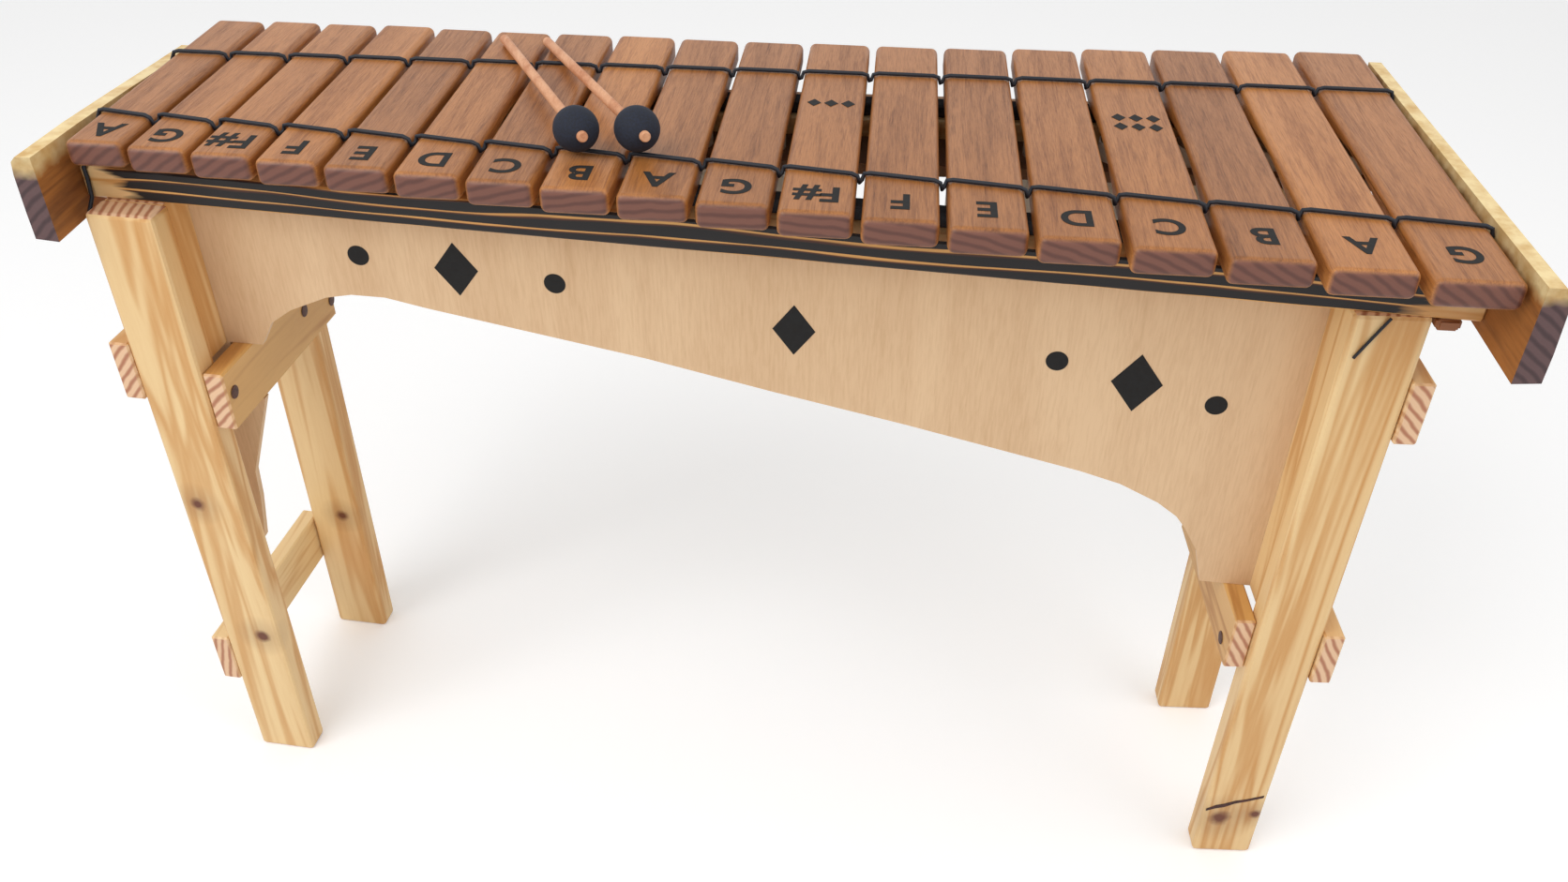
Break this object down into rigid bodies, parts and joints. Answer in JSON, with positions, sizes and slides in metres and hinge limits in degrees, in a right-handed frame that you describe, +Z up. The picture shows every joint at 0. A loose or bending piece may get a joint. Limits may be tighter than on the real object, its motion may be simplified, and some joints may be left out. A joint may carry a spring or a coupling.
{
  "type": "alto marimba",
  "caption": "Free-standing wooden bar percussion instrument with tube resonators on a pine stand, with a pair of ball mallets.",
  "frame": {"origin": "middle of the whole object's box, on the floor", "axes": "+X along the row towards the lowest and longest bar, +Y away from the player, +Z up"},
  "size_m": [1.3414, 0.5344, 0.8746],
  "materials": {
    "bar_wood": "oiled hardwood",
    "pine": "clear varnished pine",
    "board_wood": "live-edge board, satin",
    "plywood": "satin plywood",
    "foam": "matte foam strip",
    "cord_rubber": "matte rubber cord",
    "tube_plastic": "plastic pipe",
    "stick_wood": "sanded dowel",
    "head_rubber": "matte rubber ball"
  },
  "bodies": {
    "stand": {"bar_01": "bar_wood", "bar_02": "bar_wood", "bar_03": "bar_wood", "bar_04": "bar_wood", "bar_05": "bar_wood", "bar_06": "bar_wood", "bar_07": "bar_wood", "bar_08": "bar_wood", "bar_09": "bar_wood", "bar_10": "bar_wood", "bar_11": "bar_wood", "bar_12": "bar_wood", "bar_13": "bar_wood", "bar_14": "bar_wood", "bar_15": "bar_wood", "bar_16": "bar_wood", "bar_17": "bar_wood", "bar_18": "bar_wood", "resonator_01": "tube_plastic", "resonator_02": "tube_plastic", "resonator_03": "tube_plastic", "resonator_04": "tube_plastic", "resonator_05": "tube_plastic", "resonator_06": "tube_plastic", "resonator_07": "tube_plastic", "resonator_08": "tube_plastic", "resonator_09": "tube_plastic", "resonator_10": "tube_plastic", "resonator_11": "tube_plastic", "resonator_12": "tube_plastic", "resonator_13": "tube_plastic", "resonator_14": "tube_plastic", "resonator_15": "tube_plastic", "resonator_16": "tube_plastic", "resonator_17": "tube_plastic", "resonator_18": "tube_plastic", "front_rail": "pine", "back_rail": "pine", "leg_front_left": "pine", "leg_front_right": "pine", "leg_back_left": "pine", "leg_back_right": "pine", "cross_rail_left_upper_inner": "pine", "cross_rail_left_upper_outer": "pine", "cross_rail_left_lower_outer": "pine", "cross_rail_right_upper_outer": "pine", "cross_rail_right_lower_outer": "pine", "cross_rail_right_lower_inner": "pine", "front_panel": "plywood", "resonator_board": "plywood", "end_board_left": "board_wood", "end_board_right": "board_wood", "front_rest_strip": "foam", "back_rest_strip": "foam", "front_cord": "cord_rubber", "back_cord": "cord_rubber"},
    "mallet_left": {"mallet_stick_left": "stick_wood", "mallet_head_left": "head_rubber"},
    "mallet_right": {"mallet_stick_right": "stick_wood", "mallet_head_right": "head_rubber"}
  },
  "joints": [
    {"name": "mallet_left_lift", "type": "slide", "parent": "stand", "child": "mallet_left", "axis": [0, 0, 1], "range_m": [0, 0.3]},
    {"name": "mallet_right_lift", "type": "slide", "parent": "stand", "child": "mallet_right", "axis": [0, 0, 1], "range_m": [0, 0.3]}
  ]
}
